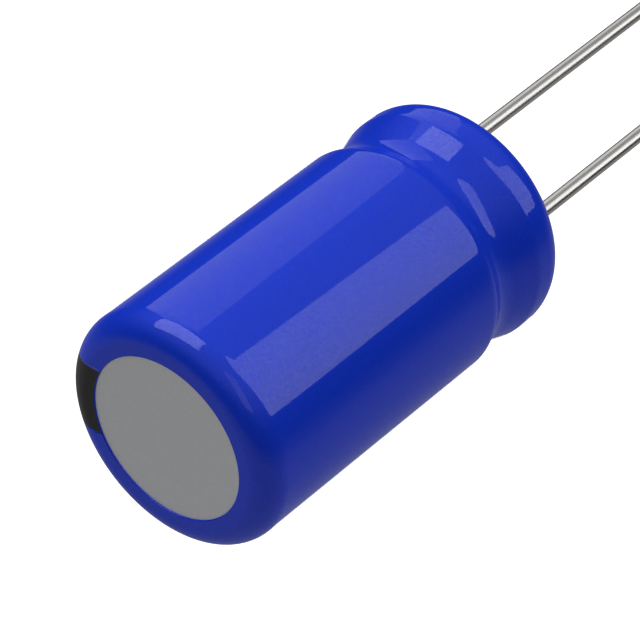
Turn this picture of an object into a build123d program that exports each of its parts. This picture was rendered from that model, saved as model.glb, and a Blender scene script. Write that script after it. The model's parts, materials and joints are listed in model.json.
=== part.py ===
from build123d import *
import os
from math import degrees, floor, hypot, radians, tan

# Radial aluminium electrolytic capacitor, in millimetres.
# The origin is the middle of the seating plane, between the leads. +Z points to the closed head of the can,
# and the leads point down. The anode is on the -X side. The cathode and the polarity stripe are on the +X side.

# Body, measured over the sleeve
body_diameter = 10.0
body_length = 18.0
head_round = 1.05
seat_round = 1.2

# Bead: the groove rolled into the can, which grips the bung
bead_middle = 3.48
bead_floor = 0.71
bead_depth = 0.4
bead_upper_slope = 32.4
bead_lower_slope = 17.0
bead_upper_crest = 1.05
bead_upper_root = 1.5
bead_lower_root = 1.75
bead_lower_crest = 1.0

# Sleeve: shrunk film, which ends a little past the rounding on the head and on the seat
sleeve_thickness = 0.1
sleeve_head_lip = 0.45
sleeve_seat_lip = 0.15

# Polarity stripe: ink, flush with the outside of the sleeve
stripe_width = 3.04
ink_thickness = 0.02

# Can: drawn cup, whose open edge is curled into the bung
can_wall = 0.3
rim_bend = 0.4
rim_hook = 1.0
rim_to_rod = 0.25

# Bung: rubber, with one hole for each lead
bung_top = 5.3
bung_face = 0.2
bung_edge_round = 0.25

# Leads: tinned wire
lead_pitch = 5.0
lead_diameter = 0.6
anode_lead_reach = 20.0
cathode_lead_reach = 16.0
lead_end_chamfer = 0.08

# Tabs: a round rod through the bung, tapered to the wire's weld below it and pressed flat above it
rod_diameter = 1.3
weld_height = 0.05
weld_step = 0.075
weld_taper = 0.45
rod_above_bung = 0.1
paddle_width = 1.7
paddle_thickness = 0.2
paddle_end_margin = 1.2

# Wound element: two foils and two papers
foil_margin = 0.6
tape_margin = 1.2
paper_thickness = 0.05
anode_foil_thickness = 0.1
cathode_foil_thickness = 0.04
tape_thickness = 0.06
core_diameter = 1.5
paper_lead_in = 2
tape_half_turns = 3

# Clearances
fit_gap = 0.01
layer_gap = 0.01
paddle_gap = 0.02
element_bung_gap = 0.5
element_head_gap = 0.4
element_side_gap = 0.15

# Sizes that follow
body_radius = body_diameter / 2
bead_radius = body_radius - bead_depth
can_outside = sleeve_thickness + fit_gap
can_inside = can_outside + can_wall
bung_outside = can_inside + fit_gap
lead_radius = lead_pitch / 2
weld_diameter = lead_diameter + 2 * weld_step
rim_radius = (lead_pitch + rod_diameter) / 2 + rim_to_rod
element_bottom = bung_top + element_bung_gap
element_radius = body_radius - can_inside - element_side_gap
paper_width = body_length - can_inside - element_head_gap - element_bottom
foil_width = paper_width - 2 * foil_margin
tape_width = paper_width - 2 * tape_margin
foil_bottom = element_bottom + foil_margin


def direction(start, end):
    """Unit direction from one corner to the next."""
    length = hypot(end[0] - start[0], end[1] - start[1])
    return (end[0] - start[0]) / length, (end[1] - start[1]) / length


def turn_tangent(before, corner, after):
    """Tangent of half the turn at a corner, positive where the outline turns to the left."""
    into = direction(before, corner)
    out = direction(corner, after)
    cross = into[0] * out[1] - into[1] * out[0]
    dot = into[0] * out[0] + into[1] * out[1]
    return cross / (1 + dot)


def limit_rounds(corners):
    """Reduce each rounding that is too large for the two runs beside it."""
    limited = [list(corner) for corner in corners]
    for index in range(len(corners) - 1):
        start, end = limited[index], limited[index + 1]
        run = hypot(end[0] - start[0], end[1] - start[1])
        used = 0.0
        for place in (index, index + 1):
            if 0 < place < len(corners) - 1:
                used += limited[place][2] * abs(turn_tangent(*limited[place - 1:place + 2]))
        if used > run:
            start[2] *= run / used
            end[2] *= run / used
    return [tuple(corner) for corner in limited]


def body_outline():
    """Outside of the body as (radius, height, rounding), from the rim's edge to the middle of the head."""
    lower_run = bead_depth / tan(radians(bead_lower_slope))
    upper_run = bead_depth / tan(radians(bead_upper_slope))
    floor_bottom = bead_middle - bead_floor / 2
    floor_top = bead_middle + bead_floor / 2
    corners = [
        (rim_radius - can_outside, rim_hook, 0.0),
        (rim_radius - can_outside, 0.0, rim_bend + can_outside),
        (body_radius, 0.0, seat_round),
        (body_radius, floor_bottom - lower_run, bead_lower_crest),
        (bead_radius, floor_bottom, bead_lower_root),
        (bead_radius, floor_top, bead_upper_root),
        (body_radius, floor_top + upper_run, bead_upper_crest),
        (body_radius, body_length, head_round),
        (0.0, body_length, 0.0),
    ]
    return limit_rounds(corners)


def inset(corners, depth):
    """Move an outline to its left by depth: the roundings stay concentric where their runs have room."""
    moved = []
    last = len(corners) - 1
    for index, (radius, height, rounding) in enumerate(corners):
        into = direction(corners[max(index - 1, 0)], corners[max(index, 1)])
        out = direction(corners[min(index, last - 1)], corners[min(index + 1, last)])
        scale = depth / (1 + into[0] * out[0] + into[1] * out[1])
        across = -(into[1] + out[1]) * scale
        up = (into[0] + out[0]) * scale
        if rounding:
            turn = turn_tangent(*corners[index - 1:index + 2])
            rounding -= depth if turn > 0 else -depth
        moved.append((radius + across, height + up, max(rounding, 0.0)))
    return limit_rounds(moved)


def outline_path(corners):
    """Line through the corners, rounded at each of them, in the XZ plane."""
    points = [(radius, height) for radius, height, _ in corners]
    rounds = [rounding for _, _, rounding in corners[1:-1]]
    return Plane.XZ * FilletPolyline(*points, radius=rounds)


def turned_shell(corners, outer_depth, inner_depth):
    """Solid of revolution between two insets of one outline."""
    outer = outline_path(inset(corners, outer_depth))
    inner = outline_path(inset(corners, inner_depth))
    ends = [Line(outer @ 0, inner @ 0), Line(outer @ 1, inner @ 1)]
    return revolve(make_face(outer.edges() + inner.edges() + ends), Axis.Z)


def sleeve_outline():
    """Outside of the sleeve, from its edge under the seat to its edge on the head."""
    wall = body_outline()[2:-1]
    seat_edge = (body_radius - wall[0][2] - sleeve_seat_lip, 0.0, 0.0)
    head_edge = (body_radius - wall[-1][2] - sleeve_head_lip, body_length, 0.0)
    return [seat_edge] + wall + [head_edge]


def make_polarity_stripe():
    """Printed band of even width along the sleeve, on the cathode's side, from edge to edge."""
    ink = turned_shell(sleeve_outline(), 0.0, ink_thickness)
    band = Box(body_radius, stripe_width, body_length, align=(Align.MIN, Align.CENTER, Align.MIN))
    return ink & band


def make_sleeve():
    """Film shrunk over the can, its shoulder, bead and seat."""
    return turned_shell(sleeve_outline(), 0.0, sleeve_thickness) - make_polarity_stripe()


def make_can():
    """Drawn aluminium cup with its bead and curled rim."""
    return turned_shell(body_outline(), can_outside, can_inside)


def cavity_outline():
    """Inside of the can, round its curled rim and down to the bung's outer face."""
    wall = inset(body_outline(), bung_outside)
    plug_radius = rim_radius - fit_gap
    hook_radius = wall[0][0]
    hook_top = rim_hook + fit_gap
    plug = [(0.0, bung_face, 0.0), (plug_radius, bung_face, 0.0), (plug_radius, hook_top, 0.0)]
    return plug + [(hook_radius, hook_top, 0.0)] + wall[1:]


def make_bung():
    """Rubber bung, which fills the can's open end up to its top and has a hole for each lead."""
    path = outline_path(cavity_outline())
    cavity = revolve(make_face(path.edges() + [Line(path @ 1, path @ 0)]), Axis.Z)
    body = cavity & Cylinder(body_radius, bung_top, align=(Align.CENTER, Align.CENTER, Align.MIN))
    body = fillet(body.edges().filter_by(GeomType.CIRCLE).sort_by(Axis.Z)[-1], bung_edge_round)
    hole = Cylinder(rod_diameter / 2 + fit_gap, bung_top, align=(Align.CENTER, Align.CENTER, Align.MIN))
    for side in (-1, 1):
        body -= Pos(side * lead_radius, 0, 0) * hole
    return body


def make_lead(side, reach):
    """Straight wire from its weld on the tab to its cut end below the seat."""
    wire = Pos(0, 0, -reach) * Cylinder(
        lead_diameter / 2, reach + weld_height, align=(Align.CENTER, Align.CENTER, Align.MIN)
    )
    wire = chamfer(wire.edges().sort_by(Axis.Z)[0], lead_end_chamfer)
    return Pos(side * lead_radius, 0, 0) * wire


# Winding. Each strip is a row of half turns that cross the X axis: even crossings are on the cathode's side,
# odd ones on the anode's. From the inside out, a turn holds paper, anode foil, paper and cathode foil.
strip_thickness = [paper_thickness, anode_foil_thickness, paper_thickness, cathode_foil_thickness]
turn_pitch = sum(strip_thickness) + len(strip_thickness) * layer_gap
paddle_room = paddle_thickness + 2 * paddle_gap - layer_gap
inner_paper, anode_layer, outer_paper, cathode_layer = range(4)


def layer_offset(layer):
    """Distance of a layer's inner face from the start of its turn."""
    return sum(strip_thickness[:layer]) + layer * layer_gap


def tab_crossing(layer, parity):
    """Crossing at which a foil passes nearest under its own tab."""
    under_tab = lead_radius - paddle_thickness / 2 - paddle_gap
    foil_face = core_diameter / 2 + layer_offset(layer) + strip_thickness[layer]
    turns = (under_tab - foil_face) / turn_pitch - parity / 2
    return 2 * max(round(turns), 1) + parity


anode_crossing = tab_crossing(anode_layer, 1)
cathode_crossing = tab_crossing(cathode_layer, 0)


def crossing_radius(crossing, layer):
    """Where a layer's inner face crosses the X axis, with room for a tab once that tab is inside it."""
    tab_at = (anode_crossing, anode_layer) if crossing % 2 else (cathode_crossing, cathode_layer)
    room = paddle_room if (crossing, layer) > tab_at else 0.0
    return core_diameter / 2 + crossing * turn_pitch / 2 + layer_offset(layer) + room


def half_turn(crossing, layer, depth):
    """Half circle from one crossing to the next, at a depth above the layer's inner face."""
    side = -1 if crossing % 2 else 1
    start = crossing_radius(crossing, layer) + depth
    end = crossing_radius(crossing + 1, layer) + depth
    middle = (side * (start - end) / 2, side * (start + end) / 2)
    return ThreePointArc((side * start, 0), middle, (-side * end, 0))


def wound_strip(layer, thickness, first, last, bottom, width):
    """One strip of the winding, from its first crossing to its last."""
    inner = [half_turn(crossing, layer, 0.0) for crossing in range(first, last)]
    outer = [half_turn(crossing, layer, thickness) for crossing in range(first, last)]
    ends = [Line(inner[0] @ 0, outer[0] @ 0), Line(inner[-1] @ 1, outer[-1] @ 1)]
    return Pos(0, 0, bottom) * extrude(make_face(inner + outer + ends), width)


tape_end = floor((element_radius - tape_thickness - paddle_room - core_diameter / 2) / (turn_pitch / 2))
half_turns = tape_end - tape_half_turns - 1


def make_paper(layer):
    """Separator paper, which starts before the foils and ends after them."""
    return wound_strip(layer, paper_thickness, 0, half_turns, element_bottom, paper_width)


def make_foil(layer):
    """Foil, shorter and narrower than the papers on its two sides."""
    last = half_turns - paper_lead_in
    return wound_strip(layer, strip_thickness[layer], paper_lead_in, last, foil_bottom, foil_width)


def make_tape():
    """Tape that closes the winding and laps over its own start."""
    bottom = element_bottom + tape_margin
    return wound_strip(inner_paper, tape_thickness, tape_end - tape_half_turns, tape_end, bottom, tape_width)


def paddle_section(radius):
    """Section of a tab's flat end, curved to lie in the winding at this radius."""
    half_angle = degrees(paddle_width / 2 / radius)
    inner = CenterArc((0, 0), radius - paddle_thickness / 2, -half_angle, 2 * half_angle)
    outer = CenterArc((0, 0), radius + paddle_thickness / 2, -half_angle, 2 * half_angle)
    return make_face([inner, outer, Line(inner @ 0, outer @ 0), Line(inner @ 1, outer @ 1)])


def make_rod():
    """Round part of a tab, from its weld to the top of the bung."""
    taper_top = weld_height + weld_taper
    length = bung_top + rod_above_bung - taper_top
    rod = Cylinder(rod_diameter / 2, length, align=(Align.CENTER, Align.CENTER, Align.MIN))
    taper = Cone(weld_diameter / 2, rod_diameter / 2, weld_taper, align=(Align.CENTER, Align.CENTER, Align.MIN))
    return Pos(0, 0, taper_top) * rod + Pos(0, 0, weld_height) * taper


def make_tab(side, crossing, layer):
    """Tab: round rod in the bung, a pressed neck and a thin paddle against the foil."""
    face_radius = crossing_radius(crossing, layer) + strip_thickness[layer]
    section = paddle_section(face_radius + paddle_gap + paddle_thickness / 2)
    neck_bottom = bung_top + rod_above_bung
    rod_end = Pos(lead_radius, 0, neck_bottom) * Circle(rod_diameter / 2)
    neck = loft([rod_end, Pos(0, 0, element_bottom) * section])
    paddle_top = foil_bottom + foil_width - paddle_end_margin
    paddle = Pos(0, 0, element_bottom) * extrude(section, paddle_top - element_bottom)
    tab = Pos(lead_radius, 0, 0) * make_rod() + neck + paddle
    return tab if side > 0 else Rot(0, 0, 180) * tab


def make_parts():
    """Every separate piece of the capacitor, by name."""
    return {
        "sleeve": make_sleeve(),
        "polarity_stripe": make_polarity_stripe(),
        "can": make_can(),
        "bung": make_bung(),
        "anode_lead": make_lead(-1, anode_lead_reach),
        "cathode_lead": make_lead(1, cathode_lead_reach),
        "anode_tab": make_tab(-1, anode_crossing, anode_layer),
        "cathode_tab": make_tab(1, cathode_crossing, cathode_layer),
        "anode_foil": make_foil(anode_layer),
        "cathode_foil": make_foil(cathode_layer),
        "inner_separator": make_paper(inner_paper),
        "outer_separator": make_paper(outer_paper),
        "winding_tape": make_tape(),
    }


os.makedirs("parts", exist_ok=True)
for name, shape in make_parts().items():
    export_step(shape, f"parts/{name}.step")
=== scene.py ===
"""Radial aluminium electrolytic capacitor: its finishes, its turned outer pieces and a white studio."""

import json
import logging
import math
from collections.abc import Callable
from dataclasses import dataclass, field
from enum import Enum

import bpy
from mathutils import Matrix, Vector

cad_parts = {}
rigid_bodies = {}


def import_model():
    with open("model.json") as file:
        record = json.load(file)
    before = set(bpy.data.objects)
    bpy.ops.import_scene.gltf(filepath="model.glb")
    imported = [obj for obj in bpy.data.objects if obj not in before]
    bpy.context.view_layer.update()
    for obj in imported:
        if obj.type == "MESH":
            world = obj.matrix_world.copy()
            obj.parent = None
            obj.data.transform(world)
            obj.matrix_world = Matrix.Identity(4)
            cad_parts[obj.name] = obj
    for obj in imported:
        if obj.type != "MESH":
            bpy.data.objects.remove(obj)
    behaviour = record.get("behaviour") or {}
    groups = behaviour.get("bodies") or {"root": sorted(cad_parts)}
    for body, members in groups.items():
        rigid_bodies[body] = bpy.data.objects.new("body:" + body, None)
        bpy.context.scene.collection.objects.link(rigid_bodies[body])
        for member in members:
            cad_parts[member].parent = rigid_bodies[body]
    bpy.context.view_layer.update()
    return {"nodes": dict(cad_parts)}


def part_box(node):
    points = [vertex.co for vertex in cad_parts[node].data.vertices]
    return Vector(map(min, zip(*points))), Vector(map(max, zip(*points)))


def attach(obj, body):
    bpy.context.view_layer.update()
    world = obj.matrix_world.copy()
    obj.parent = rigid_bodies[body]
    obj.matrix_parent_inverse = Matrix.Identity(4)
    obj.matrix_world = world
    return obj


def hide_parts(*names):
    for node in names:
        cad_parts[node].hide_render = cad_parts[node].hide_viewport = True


log = logging.getLogger("capacitor")

MM = 0.001
PICTURE_SIDE = 640

# A rounding below the first, in metres, or a turn below the second, in radians, is left as a corner
LEAST_ROUNDING = 1e-7
LEAST_TURN = 1e-4

# Nearly all values of a noise lie between these
NOISE_LOW = 0.3
NOISE_HIGH = 0.7

# Places of the colour sockets among the many of a mix node
MIX_FIRST = 6
MIX_SECOND = 7
MIX_RESULT = 2

Point = tuple[float, float]
Corner = tuple[float, float, float]


# Small helpers for colour, nodes and selection


def linear(code: str) -> tuple[float, float, float, float]:
    """Turn an sRGB hex colour into linear light.

    Args:
        code: Colour as six hex digits after a hash sign.

    Returns:
        Red, green, blue and an alpha of one.
    """
    channels = [int(code[place:place + 2], 16) / 255 for place in (1, 3, 5)]
    light = [c / 12.92 if c <= 0.04045 else ((c + 0.055) / 1.055) ** 2.4 for c in channels]
    return (*light, 1.0)


def add_node(
    tree: bpy.types.NodeTree, kind: str, inputs: dict[str | int, object] | None = None, **settings: object
) -> bpy.types.Node:
    """Add a shader node.

    Args:
        tree: Node tree that takes the node.
        kind: Blender's name for the kind of node.
        inputs: Value or output socket for each input, by the input's name or place.
        settings: Properties of the node itself.

    Returns:
        The new node.
    """
    node = tree.nodes.new(kind)
    for name, value in settings.items():
        setattr(node, name, value)
    for name, value in (inputs or {}).items():
        if isinstance(value, bpy.types.NodeSocket):
            tree.links.new(value, node.inputs[name])
        else:
            node.inputs[name].default_value = value
    return node


def deselect_everything() -> None:
    """Leave edit mode and deselect every object."""
    if bpy.context.object and bpy.context.object.mode != "OBJECT":
        bpy.ops.object.mode_set(mode="OBJECT")
    for thing in bpy.data.objects:
        thing.select_set(False)


def select_faces(piece: bpy.types.Object, wanted: Callable[[bpy.types.MeshPolygon], bool]) -> None:
    """Select the wanted faces of the active piece, and leave it in edit mode.

    Args:
        piece: The active object.
        wanted: Tells whether to select a face.
    """
    bpy.ops.object.mode_set(mode="EDIT")
    bpy.ops.mesh.select_all(action="DESELECT")
    bpy.ops.mesh.select_mode(type="FACE")
    bpy.ops.object.mode_set(mode="OBJECT")
    for face in piece.data.polygons:
        face.select = wanted(face)
    bpy.ops.object.mode_set(mode="EDIT")


# Outlines of turned pieces, as corners of (radius, height, rounding)


def heading(start: Corner, end: Corner) -> Vector:
    """Give the unit direction from one corner to the next."""
    return (Vector(end[:2]) - Vector(start[:2])).normalized()


def inset(corners: list[Corner], depth: float) -> list[Corner]:
    """Move an outline to its left, with its roundings concentric.

    Args:
        corners: Corners of the open outline.
        depth: Distance to move it.

    Returns:
        Corners of the moved outline.
    """
    moved = []
    last = len(corners) - 1
    for place, (radius, height, rounding) in enumerate(corners):
        into = heading(corners[max(place - 1, 0)], corners[max(place, 1)])
        out = heading(corners[min(place, last - 1)], corners[min(place + 1, last)])
        scale = depth / (1 + into.dot(out))
        across = -(into.y + out.y) * scale
        up = (into.x + out.x) * scale
        if rounding:
            left_turn = into.x * out.y - into.y * out.x > 0
            rounding = max(rounding + (-depth if left_turn else depth), 0.0)
        moved.append((radius + across, height + up, rounding))
    return moved


def rounded(corners: list[Corner], arc_step: float, hold: float = 0.04 * MM) -> list[Point]:
    """Put the points of an arc in the place of each rounded corner, and one more beyond its ends.

    Args:
        corners: Corners of the open outline.
        arc_step: Largest turn between two points of an arc, in radians.
        hold: How far on the holding points lie, which keep the shading of the straight runs straight.

    Returns:
        Points of the outline as (radius, height).
    """
    points = [corners[0][:2]]
    # A straight run shorter than this takes no holding point
    room = 3 * hold
    for before, corner, after in zip(corners, corners[1:], corners[2:]):
        into, out = heading(before, corner), heading(corner, after)
        turn = math.atan2(into.x * out.y - into.y * out.x, into.dot(out))
        if corner[2] < LEAST_ROUNDING or abs(turn) < LEAST_TURN:
            points.append(corner[:2])
            continue
        start = Vector(corner[:2]) - into * corner[2] * math.tan(abs(turn) / 2)
        spoke = Vector((into.y, -into.x)) * math.copysign(corner[2], turn)
        steps = max(2, math.ceil(abs(turn) / arc_step))
        arc = [start - spoke + Matrix.Rotation(turn * step / steps, 2) @ spoke for step in range(steps + 1)]
        if (arc[0] - Vector(points[-1])).dot(into) > room:
            points.append(tuple(arc[0] - into * hold))
        points.extend(tuple(spot) for spot in arc)
        if (Vector(after[:2]) - arc[-1]).length > after[2] + room:
            points.append(tuple(arc[-1] + out * hold))
    points.append(corners[-1][:2])
    return points


@dataclass(frozen=True)
class Lathe:
    """Turns an outline into a solid of revolution, with operators, as by hand."""

    steps: int = 320
    blank: float = 1.0 * MM
    merge_gap: float = 0.0004 * MM
    crease: float = math.radians(32)

    def turn(self, name: str, outline: list[Point], axis_x: float = 0.0) -> bpy.types.Object:
        """Extrude a point along an outline and spin the line round an upright axis.

        Args:
            name: Name of the new piece.
            outline: Points of (radius, height), from the axis to the axis or back to the first point.
            axis_x: Where the upright axis crosses the X axis.

        Returns:
            The closed piece, with its object at the origin.
        """
        deselect_everything()
        bpy.ops.mesh.primitive_plane_add(size=self.blank, location=(0, 0, 0))
        piece = bpy.context.object
        piece.name = piece.data.name = name
        bpy.ops.object.mode_set(mode="EDIT")
        bpy.ops.mesh.select_mode(type="VERT")
        bpy.ops.mesh.select_all(action="SELECT")
        bpy.ops.mesh.merge(type="CENTER")
        bpy.ops.transform.translate(value=(axis_x + outline[0][0], 0, outline[0][1]))
        for (radius, height), (next_radius, next_height) in zip(outline, outline[1:]):
            step = (next_radius - radius, 0, next_height - height)
            bpy.ops.mesh.extrude_vertices_move(TRANSFORM_OT_translate={"value": step})
        bpy.ops.mesh.select_all(action="SELECT")
        bpy.ops.mesh.spin(steps=self.steps, angle=math.tau, center=(axis_x, 0, 0), axis=(0, 0, 1))
        bpy.ops.mesh.select_all(action="SELECT")
        bpy.ops.mesh.remove_doubles(threshold=self.merge_gap)
        bpy.ops.mesh.normals_make_consistent(inside=False)
        bpy.ops.object.mode_set(mode="OBJECT")
        bpy.ops.object.shade_smooth_by_angle(angle=self.crease)
        return piece


# Finishes


@dataclass(frozen=True)
class Finish:
    """A surface: its colour, its gloss and what a close look finds on it."""

    name: str
    colour: str

    def shader(self, tree: bpy.types.NodeTree, place: bpy.types.NodeSocket) -> bpy.types.NodeSocket:
        """Build the surface's shader.

        Args:
            tree: Node tree of the material.
            place: Object coordinates.

        Returns:
            The shader's output.
        """
        raise NotImplementedError

    def material(self) -> bpy.types.Material:
        """Make the material, or find it if it is made already.

        Returns:
            The material, which all pieces with this finish share.
        """
        made = bpy.data.materials.get(self.name)
        if made:
            return made
        made = bpy.data.materials.new(self.name)
        made.use_nodes = True
        tree = made.node_tree
        tree.nodes.clear()
        place = add_node(tree, "ShaderNodeTexCoord").outputs["Object"]
        add_node(tree, "ShaderNodeOutputMaterial", {"Surface": self.shader(tree, place)})
        return made

    def dress(self, piece: bpy.types.Object) -> None:
        """Give a piece this finish all over.

        Args:
            piece: A new piece, or a solid from the frame.
        """
        if piece.material_slots:
            for slot in piece.material_slots:
                slot.material = self.material()
        else:
            piece.data.materials.append(self.material())

    def grain(
        self, tree: bpy.types.NodeTree, place: bpy.types.NodeSocket, pitch: float, detail: float = 2.0
    ) -> bpy.types.NodeSocket:
        """Return a noise whose grains are about one pitch apart."""
        pattern = {"Vector": place, "Scale": 1 / pitch, "Detail": detail}
        return add_node(tree, "ShaderNodeTexNoise", pattern).outputs["Fac"]

    def between(
        self, tree: bpy.types.NodeTree, share: bpy.types.NodeSocket, low: float, high: float
    ) -> bpy.types.NodeSocket:
        """Map a noise, whose values keep to the middle of its range, on to a range of its own.

        Args:
            tree: Node tree of the material.
            share: The noise.
            low: What its low values give.
            high: What its high values give.

        Returns:
            The mapped value.
        """
        noise = {"Value": share, "From Min": NOISE_LOW, "From Max": NOISE_HIGH}
        ramp = {**noise, "To Min": low, "To Max": high}
        return add_node(tree, "ShaderNodeMapRange", ramp).outputs["Result"]

    def shade(
        self, tree: bpy.types.NodeTree, share: bpy.types.NodeSocket, other: str
    ) -> bpy.types.NodeSocket:
        """Mix the finish's colour with another, by a share from a noise."""
        mix = {"Factor": share, MIX_FIRST: linear(self.colour), MIX_SECOND: linear(other)}
        return add_node(tree, "ShaderNodeMix", mix, data_type="RGBA").outputs[MIX_RESULT]

    def bump(
        self,
        tree: bpy.types.NodeTree,
        height: bpy.types.NodeSocket,
        depth: float,
        below: bpy.types.NodeSocket | None = None,
    ) -> bpy.types.NodeSocket:
        """Raise the surface by a pattern.

        Args:
            tree: Node tree of the material.
            height: The pattern.
            depth: How far a value of one raises the surface, in metres.
            below: Normal of the relief that this one lies on.

        Returns:
            The normal of the raised surface.
        """
        relief = {"Height": height, "Distance": depth, "Strength": 1.0}
        if below:
            relief["Normal"] = below
        return add_node(tree, "ShaderNodeBump", relief).outputs["Normal"]


@dataclass(frozen=True)
class ShrinkFilm(Finish):
    """PVC film, blown and heat shrunk: hard gloss over a deep colour, with a very fine grain in it.

    Real specks of pigment are a few micrometres wide. They are drawn coarser here, so that they show.
    """

    deep_colour: str = "#163BDA"
    pigment_roughness: float = 0.3
    grain_pitch: float = 0.06 * MM
    grain_depth: float = 0.00002 * MM
    smoothest: float = 0.036
    roughest: float = 0.05625
    refraction: float = 1.58
    gloss: float = 0.66
    gloss_swing: float = 0.32
    gloss_pitch: float = 0.07 * MM
    pearl: float = 0.06
    rings_middle: float = 4.25 * MM
    rings_reach: float = 0.45 * MM
    rings_pitch: float = 0.14 * MM
    rings_depth: float = 0.0018 * MM

    def shrink_rings(self, tree: bpy.types.NodeTree, place: bpy.types.NodeSocket) -> bpy.types.NodeSocket:
        """Draw the faint rings that shrinking leaves in the film over the bead's upper crest.

        Args:
            tree: Node tree of the material.
            place: Object coordinates.

        Returns:
            Height of the rings, from minus one to one.
        """
        height = add_node(tree, "ShaderNodeSeparateXYZ", {"Vector": place}).outputs["Z"]
        shift = {0: height, 1: self.rings_middle}
        offset = add_node(tree, "ShaderNodeMath", shift, operation="SUBTRACT").outputs[0]
        away = add_node(tree, "ShaderNodeMath", {0: offset}, operation="ABSOLUTE").outputs[0]
        ramp = {"Value": away, "From Max": self.rings_reach, "To Min": 1.0, "To Max": 0.0}
        fade = add_node(tree, "ShaderNodeMapRange", ramp, interpolation_type="SMOOTHSTEP").outputs["Result"]
        turns = {0: height, 1: math.tau / self.rings_pitch}
        phase = add_node(tree, "ShaderNodeMath", turns, operation="MULTIPLY").outputs[0]
        wave = add_node(tree, "ShaderNodeMath", {0: phase}, operation="SINE").outputs[0]
        return add_node(tree, "ShaderNodeMath", {0: wave, 1: fade}, operation="MULTIPLY").outputs[0]

    def shader(self, tree: bpy.types.NodeTree, place: bpy.types.NodeSocket) -> bpy.types.NodeSocket:
        """Build a clear skin over pigment with a trace of pearl, both a little uneven.

        Args:
            tree: Node tree of the material.
            place: Object coordinates.

        Returns:
            The shader's output.
        """
        speck = self.grain(tree, place, self.grain_pitch)
        glint = self.grain(tree, place, self.gloss_pitch)
        rings = self.bump(tree, self.shrink_rings(tree, place), self.rings_depth)
        ripple = self.bump(tree, speck, self.grain_depth, rings)
        least_gloss = self.gloss * (1 - self.gloss_swing)
        most_gloss = self.gloss * (1 + self.gloss_swing)
        surface = {
            "Base Color": self.shade(tree, self.between(tree, speck, 0.0, 1.0), self.deep_colour),
            "Roughness": self.pigment_roughness,
            "Metallic": self.pearl,
            "Specular IOR Level": 0.0,
            "Normal": ripple,
            "Coat Weight": self.between(tree, glint, least_gloss, most_gloss),
            "Coat Roughness": self.between(tree, speck, self.smoothest, self.roughest),
            "Coat IOR": self.refraction,
            "Coat Normal": ripple,
        }
        return add_node(tree, "ShaderNodeBsdfPrincipled", surface).outputs["BSDF"]


@dataclass(frozen=True)
class PrintedInk(Finish):
    """Solvent ink, rolled on: thin, even and less glossy than the film below it."""

    worn_colour: str = "#272727"
    lay_pitch: float = 0.09 * MM
    lay_depth: float = 0.0002 * MM
    smoothest: float = 0.31
    roughest: float = 0.41
    gloss: float = 0.28

    def shader(self, tree: bpy.types.NodeTree, place: bpy.types.NodeSocket) -> bpy.types.NodeSocket:
        """Build satin ink with a slightly uneven lay.

        Args:
            tree: Node tree of the material.
            place: Object coordinates.

        Returns:
            The shader's output.
        """
        lay = self.grain(tree, place, self.lay_pitch)
        surface = {
            "Base Color": self.shade(tree, self.between(tree, lay, 0.0, 1.0), self.worn_colour),
            "Roughness": self.between(tree, lay, self.smoothest, self.roughest),
            "Specular IOR Level": self.gloss,
            "Normal": self.bump(tree, lay, self.lay_depth),
        }
        return add_node(tree, "ShaderNodeBsdfPrincipled", surface).outputs["BSDF"]


@dataclass(frozen=True)
class SatinMetal(Finish):
    """Aluminium with an even satin, drawn, etched or pressed and never polished: pale, soft and cool.

    The real grain of rolled sheet is finer, and is drawn coarser here so that it shows.
    """

    other_colour: str = "#F2F3F5"
    roughness: float = 0.5
    roughness_swing: float = 0.06
    bare: float = 0.93
    grain_pitch: float = 0.08 * MM
    grain_depth: float = 0.0008 * MM
    grain_detail: float = 4.0

    def shader(self, tree: bpy.types.NodeTree, place: bpy.types.NodeSocket) -> bpy.types.NodeSocket:
        """Build satin metal with a fine matt grain.

        Args:
            tree: Node tree of the material.
            place: Object coordinates.

        Returns:
            The shader's output.
        """
        grit = self.grain(tree, place, self.grain_pitch, self.grain_detail)
        smoothest = self.roughness - self.roughness_swing
        roughest = self.roughness + self.roughness_swing
        surface = {
            "Base Color": self.shade(tree, self.between(tree, grit, 0.0, 1.0), self.other_colour),
            "Metallic": self.bare,
            "Roughness": self.between(tree, grit, smoothest, roughest),
            "Normal": self.bump(tree, grit, self.grain_depth),
        }
        return add_node(tree, "ShaderNodeBsdfPrincipled", surface).outputs["BSDF"]


@dataclass(frozen=True)
class DrawnWire(Finish):
    """Tinned wire, pulled through a die: bright, a little warm and streaked along its length.

    Real die marks are finer, and are drawn coarser here so that they show.
    """

    other_colour: str = "#D3D1CE"
    smoothest: float = 0.22
    roughest: float = 0.26
    streak_width: float = 0.12 * MM
    streak_length: float = 6.0 * MM
    streak_depth: float = 0.0001 * MM

    def shader(self, tree: bpy.types.NodeTree, place: bpy.types.NodeSocket) -> bpy.types.NodeSocket:
        """Build bright metal with die marks that run up and down the wire.

        Args:
            tree: Node tree of the material.
            place: Object coordinates.

        Returns:
            The shader's output.
        """
        squeeze = {"Vector": place, "Scale": (1.0, 1.0, self.streak_width / self.streak_length)}
        stretched = add_node(tree, "ShaderNodeMapping", squeeze).outputs["Vector"]
        streak = self.grain(tree, stretched, self.streak_width)
        surface = {
            "Base Color": self.shade(tree, self.between(tree, streak, 0.0, 1.0), self.other_colour),
            "Metallic": 1.0,
            "Roughness": self.between(tree, streak, self.smoothest, self.roughest),
            "Normal": self.bump(tree, streak, self.streak_depth),
        }
        return add_node(tree, "ShaderNodeBsdfPrincipled", surface).outputs["BSDF"]


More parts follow.
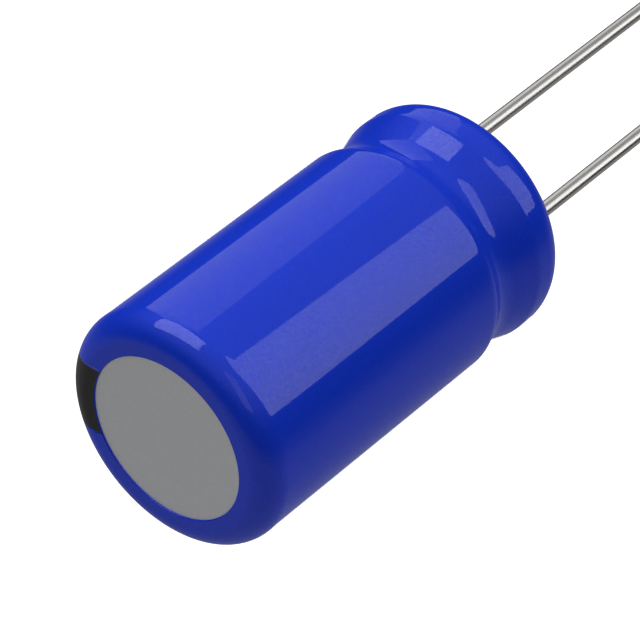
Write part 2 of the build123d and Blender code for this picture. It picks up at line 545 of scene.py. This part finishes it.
@dataclass(frozen=True)
class MouldedRubber(Finish):
    """Butyl rubber from a mould: near black, dull, with a bloom that pales it a little."""

    bloom_colour: str = "#343436"
    bloom_pitch: float = 0.9 * MM
    bloom_detail: float = 3.0
    pore_pitch: float = 0.07 * MM
    pore_depth: float = 0.002 * MM
    smoothest: float = 0.54
    roughest: float = 0.7

    def shader(self, tree: bpy.types.NodeTree, place: bpy.types.NodeSocket) -> bpy.types.NodeSocket:
        """Build dull rubber with a pale bloom and fine pores.

        Args:
            tree: Node tree of the material.
            place: Object coordinates.

        Returns:
            The shader's output.
        """
        bloom = self.grain(tree, place, self.bloom_pitch, self.bloom_detail)
        pores = self.grain(tree, place, self.pore_pitch)
        surface = {
            "Base Color": self.shade(tree, self.between(tree, bloom, 0.0, 1.0), self.bloom_colour),
            "Roughness": self.between(tree, pores, self.smoothest, self.roughest),
            "Normal": self.bump(tree, pores, self.pore_depth),
        }
        return add_node(tree, "ShaderNodeBsdfPrincipled", surface).outputs["BSDF"]


@dataclass(frozen=True)
class FibrePaper(Finish):
    """Kraft paper or film of the winding, soaked in electrolyte: fibrous and a little glossy."""

    fibre_colour: str = "#C9B48C"
    fibre_pitch: float = 0.12 * MM
    fibre_depth: float = 0.003 * MM
    fibre_detail: float = 5.0
    roughness: float = 0.55
    roughness_swing: float = 0.1

    def shader(self, tree: bpy.types.NodeTree, place: bpy.types.NodeSocket) -> bpy.types.NodeSocket:
        """Build matt sheet with fibres in it.

        Args:
            tree: Node tree of the material.
            place: Object coordinates.

        Returns:
            The shader's output.
        """
        fibres = self.grain(tree, place, self.fibre_pitch, self.fibre_detail)
        smoothest = self.roughness - self.roughness_swing
        roughest = self.roughness + self.roughness_swing
        surface = {
            "Base Color": self.shade(tree, self.between(tree, fibres, 0.0, 1.0), self.fibre_colour),
            "Roughness": self.between(tree, fibres, smoothest, roughest),
            "Normal": self.bump(tree, fibres, self.fibre_depth),
        }
        return add_node(tree, "ShaderNodeBsdfPrincipled", surface).outputs["BSDF"]


SLEEVE_FILM = ShrinkFilm("shrunk_pvc_film", "#1B43EC")
STRIPE_INK = PrintedInk("printed_stripe_ink", "#232323")
BUNG_RUBBER = MouldedRubber("moulded_butyl_rubber", "#1B1B1D")
TINNED_WIRE = DrawnWire("tinned_drawn_wire", "#D9D7D4")
CAN_ALUMINIUM = SatinMetal("drawn_can_aluminium", "#F8F9FB")

# Pressing leaves the tabs smoother and darker than the drawn can
TAB_ALUMINIUM = SatinMetal("pressed_tab_aluminium", "#C8C9CB", "#B9BABC", roughness=0.34, bare=1.0)

# Etching makes the anode's foil a dull dark grey, while the cathode's keeps more of its rolled sheen
ANODE_FOIL = SatinMetal(
    "etched_anode_foil", "#8C8D90", "#7B7C80", roughness=0.7, bare=0.9, grain_pitch=0.03 * MM
)
CATHODE_FOIL = SatinMetal(
    "plain_cathode_foil", "#B4B5B8", "#A6A7AA", roughness=0.4, bare=1.0, grain_pitch=0.05 * MM
)

# Soaked paper is the paler of the two, and the tape's film is the glossier
SEPARATOR_PAPER = FibrePaper("soaked_kraft_paper", "#D8C59D")
WINDING_TAPE = FibrePaper(
    "winding_tape_film", "#C7B27A", "#BDA76E", fibre_pitch=0.4 * MM, roughness=0.3
)


# Sub-assemblies


@dataclass
class CanAndSleeve:
    """Drawn can in its shrunk sleeve, with the polarity stripe let into the film."""

    radius: float
    length: float
    stripe_width: float
    seat_edge_radius: float = 3.65 * MM
    head_edge_radius: float = 3.5 * MM
    rim_radius: float = 3.29 * MM
    rim_hook: float = 1.0 * MM
    rim_round: float = 0.51 * MM
    seat_round: float = 1.2 * MM
    head_round: float = 1.05 * MM
    bead_middle: float = 3.48 * MM
    bead_floor: float = 0.71 * MM
    bead_depth: float = 0.4 * MM
    bead_lower_slope: float = math.radians(17)
    bead_upper_slope: float = math.radians(32.4)
    lower_crest_round: float = 1.0 * MM
    lower_root_round: float = 1.75 * MM
    upper_root_round: float = 1.5 * MM
    upper_crest_round: float = 1.05 * MM
    film: float = 0.1 * MM
    film_edge_round: float = 0.03 * MM
    ink: float = 0.02 * MM
    can_depth: float = 0.103 * MM
    can_wall: float = 0.3 * MM
    face_edge_radius: float = 3.585 * MM
    face_draft: float = 0.005 * MM
    face_rise: float = 0.045 * MM
    end_margin: float = 2.0 * MM
    cut_gap: float = 0.0001 * MM
    arc_step: float = math.radians(4)
    lathe: Lathe = field(default_factory=Lathe)

    def wall(self) -> list[Corner]:
        """Lay out the body's side, from the seat to the head, with the bead between.

        Returns:
            Its corners, on the outside of the film.
        """
        floor_bottom = self.bead_middle - self.bead_floor / 2
        floor_top = self.bead_middle + self.bead_floor / 2
        lower_crest = floor_bottom - self.bead_depth / math.tan(self.bead_lower_slope)
        upper_crest = floor_top + self.bead_depth / math.tan(self.bead_upper_slope)
        waist = self.radius - self.bead_depth
        return [
            (self.radius, 0.0, self.seat_round),
            (self.radius, lower_crest, self.lower_crest_round),
            (waist, floor_bottom, self.lower_root_round),
            (waist, floor_top, self.upper_root_round),
            (self.radius, upper_crest, self.upper_crest_round),
            (self.radius, self.length, self.head_round),
        ]

    def build_sleeve(self) -> bpy.types.Object:
        """Turn the film, whose two edges are a little rounded where the knife cut them.

        Returns:
            The closed film, still without its stripe.
        """
        seat_edge = (self.seat_edge_radius, 0.0, 0.0)
        head_edge = (self.head_edge_radius, self.length, 0.0)
        start = (self.seat_edge_radius + self.film, 0.0, 0.0)
        inside = inset([seat_edge, *self.wall(), head_edge], self.film)
        around = [start, *self.wall(), head_edge, *reversed(inside), seat_edge, start]
        eased = [(radius, height, rounding or self.film_edge_round) for radius, height, rounding in around]
        return self.lathe.turn("sleeve_film", rounded(eased, self.arc_step))

    def build_can(self) -> bpy.types.Object:
        """Turn the can, curled in under the bung and with its face raised a little in the film's hole.

        Returns:
            The closed shell.
        """
        body = [
            (self.rim_radius, self.rim_hook, 0.0),
            (self.rim_radius, 0.0, self.rim_round),
            *self.wall(),
            (self.face_edge_radius, self.length, 0.0),
            (self.face_edge_radius - self.face_draft, self.length + self.face_rise, 0.0),
            (0.0, self.length + self.face_rise, 0.0),
        ]
        outside = rounded(inset(body, self.can_depth), self.arc_step)
        inside = rounded(inset(body, self.can_depth + self.can_wall), self.arc_step)
        return self.lathe.turn("can_shell", [*outside, *reversed(inside), outside[0]])

    def faces_out(self, face: bpy.types.MeshPolygon) -> bool:
        """Tell whether a face of the cathode's half looks away from the body's middle.

        Args:
            face: A face of the film.

        Returns:
            True on the outer skin and false on the inner one.
        """
        middle_height = min(max(face.center.z, self.end_margin), self.length - self.end_margin)
        outwards = (face.center - Vector((0, 0, middle_height))).dot(face.normal) > 0
        return face.center.x > 0 and outwards

    def in_stripe(self, face: bpy.types.MeshPolygon) -> bool:
        """Tell whether a face is on the outer skin and within the stripe's width."""
        return abs(face.center.y) < self.stripe_width / 2 and self.faces_out(face)

    def print_stripe(self, sleeve: bpy.types.Object) -> bpy.types.Object:
        """Cut the stripe's edges into the film, lift off its skin as ink and sink the film below it.

        Args:
            sleeve: The turned film.

        Returns:
            The layer of ink, flush with the film round it.
        """
        deselect_everything()
        sleeve.select_set(True)
        bpy.context.view_layer.objects.active = sleeve
        for edge_y in (-self.stripe_width / 2, self.stripe_width / 2):
            select_faces(sleeve, self.faces_out)
            bpy.ops.mesh.bisect(plane_co=(0, edge_y, 0), plane_no=(0, 1, 0), threshold=self.cut_gap)
        select_faces(sleeve, self.in_stripe)
        bpy.ops.mesh.duplicate()
        bpy.ops.mesh.separate(type="SELECTED")
        select_faces(sleeve, self.in_stripe)
        bpy.ops.mesh.extrude_region_shrink_fatten(TRANSFORM_OT_shrink_fatten={"value": -self.ink})
        bpy.ops.object.mode_set(mode="OBJECT")
        ink = next(thing for thing in bpy.context.selected_objects if thing != sleeve)
        ink.name = ink.data.name = "stripe_ink"
        deselect_everything()
        ink.select_set(True)
        bpy.context.view_layer.objects.active = ink
        layer = ink.modifiers.new("layer", "SOLIDIFY")
        layer.thickness = self.ink
        layer.offset = -1.0
        bpy.ops.object.modifier_apply(modifier=layer.name)
        bpy.ops.object.shade_smooth_by_angle(angle=self.lathe.crease)
        return ink

    def build(self) -> None:
        """Make the film, the ink and the can, and dress them."""
        sleeve = self.build_sleeve()
        ink = self.print_stripe(sleeve)
        can = self.build_can()
        fit_piece(sleeve, "sleeve", SLEEVE_FILM)
        fit_piece(ink, "polarity_stripe", STRIPE_INK)
        fit_piece(can, "can", CAN_ALUMINIUM)


class Pole(Enum):
    """The two ends of the winding, by the word that their nodes begin with."""

    ANODE = "anode"
    CATHODE = "cathode"


@dataclass
class LeadWire:
    """Straight tinned wire, from its weld on the tab to its cut end."""

    pole: Pole
    end_chamfer: float = 0.08 * MM
    end_round: float = 0.03 * MM
    arc_step: float = math.radians(8)
    lathe: Lathe = field(default_factory=lambda: Lathe(steps=96))

    def build(self) -> None:
        """Turn the wire at its node's place and dress it."""
        node = f"{self.pole.value}_lead"
        low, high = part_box(node)
        radius = (high.x - low.x) / 2
        corners = [
            (0.0, low.z, 0.0),
            (radius - self.end_chamfer, low.z, self.end_round),
            (radius, low.z + self.end_chamfer, self.end_round),
            (radius, high.z, 0.0),
            (0.0, high.z, 0.0),
        ]
        outline = rounded(corners, self.arc_step)
        wire = self.lathe.turn(f"{self.pole.value}_wire", outline, (low.x + high.x) / 2)
        fit_piece(wire, node, TINNED_WIRE)


def fit_piece(piece: bpy.types.Object, node: str, finish: Finish) -> None:
    """Put a finished piece in the place of its CAD solid.

    Args:
        piece: The new piece.
        node: CAD node that it stands for.
        finish: Surface of the piece.
    """
    finish.dress(piece)
    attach(piece, "root")
    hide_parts(node)
    log.info("built %s with %d faces in the place of %s", piece.name, len(piece.data.polygons), node)


@dataclass
class InsideAndSeal:
    """Pieces whose CAD solids stay: the bung, the tabs and the wound element."""

    finishes: dict[str, Finish] = field(
        default_factory=lambda: {
            "bung": BUNG_RUBBER,
            "anode_tab": TAB_ALUMINIUM,
            "cathode_tab": TAB_ALUMINIUM,
            "anode_foil": ANODE_FOIL,
            "cathode_foil": CATHODE_FOIL,
            "inner_separator": SEPARATOR_PAPER,
            "outer_separator": SEPARATOR_PAPER,
            "winding_tape": WINDING_TAPE,
        }
    )

    def dress(self, nodes: dict[str, bpy.types.Object]) -> None:
        """Give each solid that stays its finish.

        Args:
            nodes: The frame's solids by their node names.
        """
        for name, finish in self.finishes.items():
            finish.dress(nodes[name])
            log.info("dressed %s as %s", name, finish.name)


# Studio


@dataclass
class StudioCamera:
    """Long lens, above and in front of the head, turned on its side as the picture is.

    The focal length is in pixels of the picture, and the sensor's width in millimetres.
    """

    aim: Vector = field(default_factory=lambda: Vector((-0.012, 0.009, 9.05)) * MM)
    bearing: float = math.radians(322.61)
    height: float = math.radians(36.815)
    distance: float = 157.49 * MM
    roll: float = math.radians(127.83)
    focal_pixels: float = 4147.06
    sensor: float = 36.0
    nearest: float = 1 * MM
    farthest: float = 20.0

    def away(self) -> Vector:
        """Work out where the camera stands.

        Returns:
            The unit direction from the aim to the camera.
        """
        level = math.cos(self.height)
        across = math.sin(self.bearing) * level
        back = -math.cos(self.bearing) * level
        return Vector((across, back, math.sin(self.height)))

    def turned(self) -> Matrix:
        """Give the camera's rotation, with its roll, as a matrix of three by three."""
        upright = (-self.away()).to_track_quat("-Z", "Y").to_matrix()
        return upright @ Matrix.Rotation(-self.roll, 3, "Z")

    def place(self) -> None:
        """Add the camera and make it the scene's own."""
        data = bpy.data.cameras.new("studio_camera")
        data.sensor_width = self.sensor
        data.lens = self.focal_pixels * self.sensor / PICTURE_SIDE
        data.clip_start = self.nearest
        data.clip_end = self.farthest
        camera = bpy.data.objects.new("studio_camera", data)
        stand = Matrix.Translation(self.aim + self.away() * self.distance)
        camera.matrix_world = stand @ self.turned().to_4x4()
        bpy.context.scene.collection.objects.link(camera)
        bpy.context.scene.camera = camera


@dataclass(frozen=True)
class Softbox:
    """A flat light with cut corners, which faces the part and is placed by how the camera sees the room.

    Width, height and cut are for a distance of one, so they are the tangents that the part sees.
    """

    name: str
    swing: float
    lift: float
    width: float
    height: float
    cut: float
    turn: float
    brightness: float
    distance: float = 0.8

    def stand(self, view: Matrix, aim: Vector) -> Matrix:
        """Give its place: swung right of the camera, lifted above it and turned in its own plane.

        Args:
            view: The camera's rotation.
            aim: The point that the lights stand round.

        Returns:
            The matrix that takes a flat outline round the origin there.
        """
        swing, lift = math.radians(self.swing), math.radians(self.lift)
        level = math.cos(lift)
        out = view @ Vector((math.sin(swing) * level, math.sin(lift), math.cos(swing) * level))
        right = view @ Vector((math.cos(swing), 0.0, -math.sin(swing)))
        axes = Matrix((right, out.cross(right), out)).transposed()
        turned = axes @ Matrix.Rotation(math.radians(self.turn), 3, "Z")
        return Matrix.Translation(aim + out * self.distance) @ turned.to_4x4()

    def hang(self, view: Matrix, aim: Vector) -> None:
        """Make the panel, cut its corners and put it in its place, out of the camera's sight.

        Args:
            view: The camera's rotation.
            aim: The point that the lights stand round.
        """
        deselect_everything()
        bpy.ops.mesh.primitive_plane_add(size=1.0)
        panel = bpy.context.object
        panel.name = self.name
        bpy.ops.object.mode_set(mode="EDIT")
        bpy.ops.transform.resize(value=(self.width * self.distance, self.height * self.distance, 1.0))
        bpy.ops.mesh.bevel(offset=self.cut * self.distance, offset_type="OFFSET", affect="VERTICES")
        bpy.ops.object.mode_set(mode="OBJECT")
        panel.matrix_world = self.stand(view, aim)
        hide_from_camera(panel, casts_shadow=False)
        cloth = bpy.data.materials.new(self.name)
        cloth.use_nodes = True
        cloth.node_tree.nodes.clear()
        glow = add_node(cloth.node_tree, "ShaderNodeEmission", {"Strength": self.brightness})
        add_node(cloth.node_tree, "ShaderNodeOutputMaterial", {"Surface": glow.outputs[0]})
        panel.data.materials.append(cloth)


def hide_from_camera(stage_piece: bpy.types.Object, casts_shadow: bool) -> None:
    """Keep a piece of the studio out of the picture, also where it is seen through glass.

    Args:
        stage_piece: The light or the tent.
        casts_shadow: Whether it holds back the light from behind it.
    """
    stage_piece.visible_camera = False
    stage_piece.visible_transmission = False
    stage_piece.visible_shadow = casts_shadow


@dataclass
class LightTent:
    """Round tent about the part: soft light above and below, dark at the horizon, open behind.

    The picture looks down on the part as it lies, so the room's upward side is the part's -Y side.
    Sky and ground begin and are full at shares of the radius, and only matt surfaces find the light
    of front and back.
    """

    radius: float = 2.0
    sky: float = 0.34
    sky_from: float = 0.1
    sky_full: float = 0.75
    ground: float = 0.29
    ground_from: float = 0.07
    ground_full: float = 0.53
    least: float = 0.02
    front_matt: float = 0.03
    back_matt: float = 0.36
    back_full: float = 0.35
    opening: float = math.radians(10)
    gores: int = 48
    rows: int = 32

    def pitch(self, view: Matrix, aim: Vector) -> None:
        """Make the tent and open it behind the part, where the white room then shows in the gloss.

        Args:
            view: The camera's rotation.
            aim: The point that the tent stands round.
        """
        deselect_everything()
        bpy.ops.mesh.primitive_uv_sphere_add(
            segments=self.gores, ring_count=self.rows, radius=self.radius
        )
        tent = bpy.context.object
        tent.name = "light_tent"
        behind = view @ Vector((0.0, 0.0, -1.0))
        select_faces(tent, lambda face: face.center.angle(behind) < self.opening)
        bpy.ops.mesh.delete(type="FACE")
        bpy.ops.object.mode_set(mode="OBJECT")
        tent.location = aim
        hide_from_camera(tent, casts_shadow=True)
        tent.data.materials.append(self.cloth(behind))

    def cloth(self, behind: Vector) -> bpy.types.Material:
        """Make the tent's cloth, whose brightness goes with its height in the room.

        Args:
            behind: Direction in which the camera looks, where matt surfaces find some more light.

        Returns:
            The emitting material.
        """
        made = bpy.data.materials.new("light_tent")
        made.use_nodes = True
        made.cycles.emission_sampling = "NONE"
        tree = made.node_tree
        tree.nodes.clear()
        place = add_node(tree, "ShaderNodeTexCoord").outputs["Object"]
        height = add_node(tree, "ShaderNodeSeparateXYZ", {"Vector": place}).outputs["Y"]
        above = {
            "Value": height,
            "From Min": -self.sky_from * self.radius,
            "From Max": -self.sky_full * self.radius,
            "To Min": self.least,
            "To Max": self.sky,
        }
        below = {
            "Value": height,
            "From Min": self.ground_from * self.radius,
            "From Max": self.ground_full * self.radius,
            "To Min": self.least,
            "To Max": self.ground,
        }
        halves = [
            add_node(tree, "ShaderNodeMapRange", side, interpolation_type="SMOOTHSTEP").outputs["Result"]
            for side in (above, below)
        ]
        pair = {0: halves[0], 1: halves[1]}
        both = add_node(tree, "ShaderNodeMath", pair, operation="MAXIMUM").outputs[0]
        depth = add_node(tree, "ShaderNodeVectorMath", {0: place, 1: behind}, operation="DOT_PRODUCT")
        rear = {
            "Value": depth.outputs["Value"],
            "From Max": self.back_full * self.radius,
            "To Min": self.front_matt,
            "To Max": self.back_matt,
        }
        far_half = add_node(tree, "ShaderNodeMapRange", rear, interpolation_type="SMOOTHSTEP")
        matt_only = add_node(tree, "ShaderNodeLightPath").outputs["Is Diffuse Ray"]
        summed = {0: far_half.outputs["Result"], 1: matt_only, 2: both}
        strength = add_node(tree, "ShaderNodeMath", summed, operation="MULTIPLY_ADD").outputs[0]
        glow = add_node(tree, "ShaderNodeEmission", {"Strength": strength})
        add_node(tree, "ShaderNodeOutputMaterial", {"Surface": glow.outputs[0]})
        return made


@dataclass
class Studio:
    """White room: a far floor, a white world, a light tent and four softboxes, in metres."""

    floor_height: float = -2.4
    floor_side: float = 30.0
    floor_white: str = "#F4F4F4"
    floor_glow: float = 0.97
    room_light: float = 0.5
    tent: LightTent = field(default_factory=LightTent)
    softboxes: tuple[Softbox, ...] = (
        Softbox(
            name="key_softbox",
            swing=-42.9,
            lift=52.6,
            width=0.8,
            height=0.78,
            cut=0.02,
            turn=-11.0,
            brightness=2.53,
        ),
        Softbox(
            name="fill_softbox",
            swing=67.1,
            lift=30.2,
            width=0.45,
            height=1.04,
            cut=0.1,
            turn=45.0,
            brightness=1.64,
        ),
        Softbox(
            name="back_softbox",
            swing=-162.2,
            lift=73.7,
            width=0.56,
            height=0.9,
            cut=0.02,
            turn=-23.0,
            brightness=0.8,
        ),
        Softbox(
            name="strip_softbox",
            swing=11.7,
            lift=2.4,
            width=0.345,
            height=0.66,
            cut=0.05,
            turn=6.0,
            brightness=0.72,
        ),
    )

    def seen_directly(self, tree: bpy.types.NodeTree) -> bpy.types.NodeSocket:
        """Tell apart the rays that show the room: to the camera, in gloss and through glass.

        Args:
            tree: Node tree of the world or the floor.

        Returns:
            One for those rays and zero for the rest.
        """
        path = add_node(tree, "ShaderNodeLightPath").outputs
        pair = {0: path["Is Camera Ray"], 1: path["Is Glossy Ray"]}
        either = add_node(tree, "ShaderNodeMath", pair, operation="MAXIMUM").outputs[0]
        both = {0: either, 1: path["Is Transmission Ray"]}
        return add_node(tree, "ShaderNodeMath", both, operation="MAXIMUM").outputs[0]

    def paint_world(self) -> None:
        """Make the room white to look at, and a softer light on the part."""
        world = bpy.data.worlds.new("white_room")
        world.use_nodes = True
        tree = world.node_tree
        tree.nodes.clear()
        ramp = {"Value": self.seen_directly(tree), "To Min": self.room_light, "To Max": 1.0}
        strength = add_node(tree, "ShaderNodeMapRange", ramp).outputs["Result"]
        sky = add_node(tree, "ShaderNodeBackground", {"Strength": strength})
        add_node(tree, "ShaderNodeOutputWorld", {"Surface": sky.outputs[0]})
        bpy.context.scene.world = world

    def lay_floor(self) -> None:
        """Lay the floor far below the part, white to look at and with the part's shadow on it."""
        deselect_everything()
        bpy.ops.mesh.primitive_plane_add(size=self.floor_side, location=(0, 0, self.floor_height))
        floor = bpy.context.object
        floor.name = "studio_floor"
        paint = bpy.data.materials.new("floor_paint")
        paint.use_nodes = True
        tree = paint.node_tree
        tree.nodes.clear()
        ramp = {"Value": self.seen_directly(tree), "To Min": 0.0, "To Max": self.floor_glow}
        strength = add_node(tree, "ShaderNodeMapRange", ramp).outputs["Result"]
        glow = add_node(tree, "ShaderNodeEmission", {"Strength": strength})
        matt = add_node(tree, "ShaderNodeBsdfDiffuse", {"Color": linear(self.floor_white)})
        both = add_node(tree, "ShaderNodeAddShader", {0: glow.outputs[0], 1: matt.outputs[0]})
        add_node(tree, "ShaderNodeOutputMaterial", {"Surface": both.outputs[0]})
        floor.data.materials.append(paint)

    def build(self, camera: StudioCamera) -> None:
        """Set up the room, the camera, the tent and the softboxes.

        Args:
            camera: The camera that the lights are placed by.
        """
        bpy.context.scene.view_settings.view_transform = "Standard"
        self.paint_world()
        self.lay_floor()
        camera.place()
        view = camera.turned()
        self.tent.pitch(view, camera.aim)
        for softbox in self.softboxes:
            softbox.hang(view, camera.aim)


def main() -> None:
    """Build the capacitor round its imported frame, piece by piece."""
    logging.basicConfig(level=logging.INFO, format="%(message)s")
    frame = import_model()
    Studio().build(StudioCamera())
    low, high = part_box("sleeve")
    stripe_low, stripe_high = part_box("polarity_stripe")
    body = CanAndSleeve(
        radius=(high.y - low.y) / 2, length=high.z - low.z, stripe_width=stripe_high.y - stripe_low.y
    )
    body.build()
    for pole in Pole:
        LeadWire(pole).build()
    InsideAndSeal().dress(frame["nodes"])


if __name__ == "__main__":
    main()
